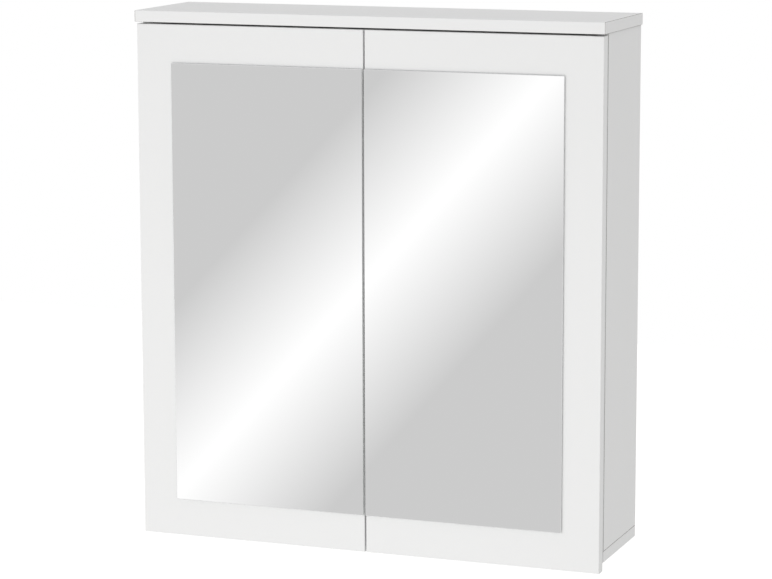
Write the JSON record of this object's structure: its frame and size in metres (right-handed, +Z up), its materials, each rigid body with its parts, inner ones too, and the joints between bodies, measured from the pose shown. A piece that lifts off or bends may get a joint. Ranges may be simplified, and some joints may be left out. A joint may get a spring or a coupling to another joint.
{
  "type": "bathroom mirror cabinet",
  "caption": "White wall-hung cabinet whose two doors carry frameless mirrors, with concealed hinges, shelves and let-in keyhole hangers.",
  "frame": {"origin": "on the hanging rail's rear face in the wall plane, halfway between the two keyholes", "axes": "+X to the right as seen from the front, +Y into the wall, +Z up; the mirrors face -Y"},
  "size_m": [0.64, 0.1685, 0.7],
  "materials": {
    "white_board": "smooth white melamine-faced board",
    "white_door": "smooth white lacquered board",
    "white_back_board": "white-faced thin fibreboard",
    "mirror_glass": "polished silvered glass",
    "foam_tape": "white foam mounting tape",
    "clear_plastic": "soft clear plastic",
    "white_plastic": "moulded white plastic",
    "nickel_steel": "nickel-plated pressed steel",
    "dark_steel": "dull nickel-plated steel",
    "steel_pin": "plain turned steel",
    "spring_steel": "blued spring steel",
    "zinc_steel": "bright zinc-plated steel",
    "die_cast_zinc": "die-cast zinc",
    "beech": "plain beech"
  },
  "bodies": {
    "carcass": {"top_panel": "white_board", "bottom_panel": "white_board", "left_side_panel": "white_board", "right_side_panel": "white_board", "back_panel": "white_back_board", "hanging_rail": "white_board", "upper_shelf": "white_board", "lower_shelf": "white_board", "shelf_pins": "zinc_steel", "dowels": "beech", "cam_locks": "die_cast_zinc", "cam_bolts": "zinc_steel", "cam_caps": "white_plastic", "left_keyhole_plate": "zinc_steel", "right_keyhole_plate": "zinc_steel", "keyhole_plate_screws": "zinc_steel", "hinge_plate_screws": "zinc_steel", "hinge_arm_screws": "zinc_steel", "hinge_arm_pins": "steel_pin", "hinge_springs": "spring_steel", "left_upper_hinge_plate": "nickel_steel", "left_upper_hinge_arm": "nickel_steel", "left_lower_hinge_plate": "nickel_steel", "left_lower_hinge_arm": "nickel_steel", "right_upper_hinge_plate": "nickel_steel", "right_upper_hinge_arm": "nickel_steel", "right_lower_hinge_plate": "nickel_steel", "right_lower_hinge_arm": "nickel_steel"},
    "left_outer_links": {"left_upper_outer_link": "nickel_steel", "left_lower_outer_link": "nickel_steel"},
    "left_inner_links": {"left_upper_inner_link": "dark_steel", "left_lower_inner_link": "dark_steel", "left_inner_link_pins": "steel_pin"},
    "left_door": {"left_door_panel": "white_door", "left_mirror": "mirror_glass", "left_mirror_tape": "foam_tape", "left_door_buffer": "clear_plastic", "left_upper_hinge_cup": "nickel_steel", "left_lower_hinge_cup": "nickel_steel", "left_cup_screws": "zinc_steel", "left_cup_pins": "steel_pin"},
    "right_outer_links": {"right_upper_outer_link": "nickel_steel", "right_lower_outer_link": "nickel_steel"},
    "right_inner_links": {"right_upper_inner_link": "dark_steel", "right_lower_inner_link": "dark_steel", "right_inner_link_pins": "steel_pin"},
    "right_door": {"right_door_panel": "white_door", "right_mirror": "mirror_glass", "right_mirror_tape": "foam_tape", "right_door_buffer": "clear_plastic", "right_upper_hinge_cup": "nickel_steel", "right_lower_hinge_cup": "nickel_steel", "right_cup_screws": "zinc_steel", "right_cup_pins": "steel_pin"}
  },
  "joints": [
    {"name": "left_outer_link_pivot", "type": "hinge", "parent": "carcass", "child": "left_outer_links", "pos_m": [-0.2922, -0.13185, -0.30875], "axis": [0, 0, 1], "range_deg": [0, 33.7]},
    {"name": "left_door_hinge", "type": "hinge", "parent": "left_outer_links", "child": "left_door", "pos_m": [-0.3099, -0.15065, -0.30875], "axis": [0, 0, -1], "range_deg": [0, 133.6]},
    {"name": "left_inner_link_pivot", "type": "hinge", "parent": "carcass", "child": "left_inner_links", "pos_m": [-0.2843, -0.14575, -0.30875], "axis": [0, 0, 1], "range_deg": [0, 37.2]},
    {"name": "right_outer_link_pivot", "type": "hinge", "parent": "carcass", "child": "right_outer_links", "pos_m": [0.2922, -0.13185, -0.30875], "axis": [0, 0, -1], "range_deg": [0, 33.7]},
    {"name": "right_door_hinge", "type": "hinge", "parent": "right_outer_links", "child": "right_door", "pos_m": [0.3099, -0.15065, -0.30875], "axis": [0, 0, 1], "range_deg": [0, 133.6]},
    {"name": "right_inner_link_pivot", "type": "hinge", "parent": "carcass", "child": "right_inner_links", "pos_m": [0.2843, -0.14575, -0.30875], "axis": [0, 0, -1], "range_deg": [0, 37.2]}
  ],
  "couplings": [
    {"joint": "left_outer_link_pivot", "follows": "left_door_hinge", "ratio": 0.2515},
    {"joint": "left_inner_link_pivot", "follows": "left_door_hinge", "ratio": 0.2784},
    {"joint": "right_outer_link_pivot", "follows": "right_door_hinge", "ratio": 0.2515},
    {"joint": "right_inner_link_pivot", "follows": "right_door_hinge", "ratio": 0.2784}
  ]
}
